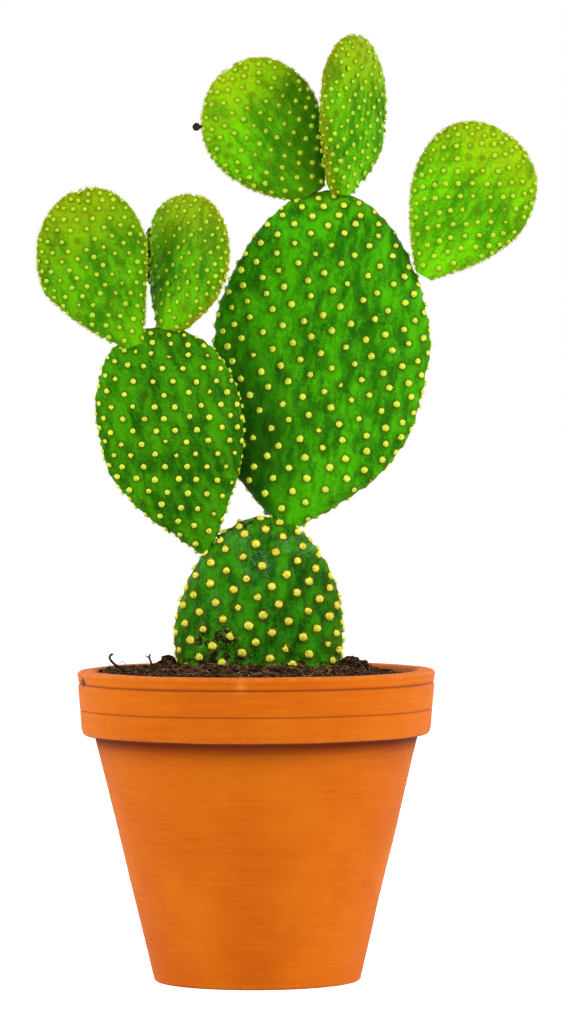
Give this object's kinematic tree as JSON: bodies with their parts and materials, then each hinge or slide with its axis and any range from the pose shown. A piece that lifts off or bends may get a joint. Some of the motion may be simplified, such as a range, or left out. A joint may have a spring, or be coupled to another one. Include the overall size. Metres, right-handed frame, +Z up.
{
  "type": "potted paddle cactus",
  "caption": "Bunny-ear paddle cactus with flat jointed pads and tufts of fine hairs, rooted in soil in a tapered terracotta pot with a thick rim.",
  "frame": {"origin": "on the surface the pot stands on, under the middle of the whole object's bounding box; the pot's own axis is 13.2 mm to the -X side", "axes": "+Z up along the pot's axis, -Y is the front that the pads face, +X is the front view's right"},
  "size_m": [0.1968, 0.1416, 0.374],
  "materials": {
    "terracotta": "unglazed fired clay with fine turning lines",
    "soil": "coarse fibrous potting mix",
    "old_skin": "matt dark green skin with corky scars",
    "grown_skin": "finely wrinkled mid green skin",
    "young_skin": "fresh yellow green skin, slightly waxy",
    "dry_bud": "shrivelled dry brown",
    "tufts": "dense tufts of fine yellow hairs"
  },
  "bodies": {
    "root": {"terracotta_pot": "terracotta", "potting_soil": "soil", "base_pad": "old_skin", "left_pad": "grown_skin", "big_pad": "grown_skin", "left_ear": "young_skin", "mid_ear": "young_skin", "young_pad": "young_skin", "top_left_ear": "young_skin", "narrow_ear": "young_skin", "right_ear": "young_skin", "dried_bud": "dry_bud"}
  },
  "joints": []
}
